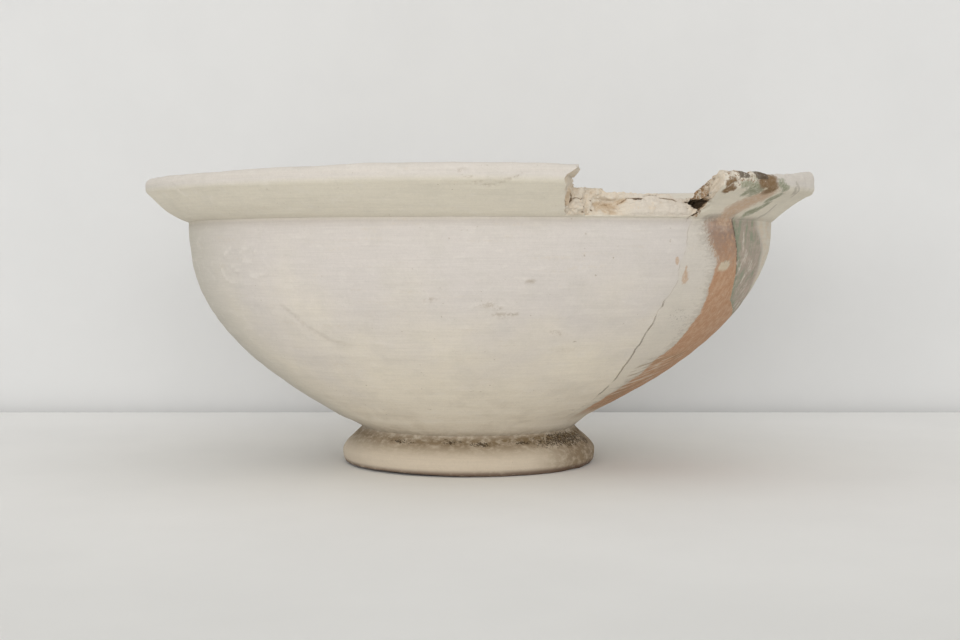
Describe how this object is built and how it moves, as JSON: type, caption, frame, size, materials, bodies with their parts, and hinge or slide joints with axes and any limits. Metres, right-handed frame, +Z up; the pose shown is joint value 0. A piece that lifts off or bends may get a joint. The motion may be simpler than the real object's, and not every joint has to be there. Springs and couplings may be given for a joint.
{
  "type": "footed bowl",
  "caption": "Deep round bowl on a low foot ring, with a flared rim. A stretch of the rim is broken off, and a crack runs down the side from the break.",
  "frame": {"origin": "under the centre of the rim, on the surface that the foot ring stands on", "axes": "+Z up out of the bowl's mouth; -Y is the side with the broken stretch of rim, which lies between -Y and +X, and the painted sherd is on the +X side"},
  "size_m": [0.2616, 0.2616, 0.1146],
  "materials": {
    "plaster": "matte, brushed and dusty plaster over earthenware"
  },
  "bodies": {
    "root": {"bowl": "plaster"}
  },
  "joints": []
}
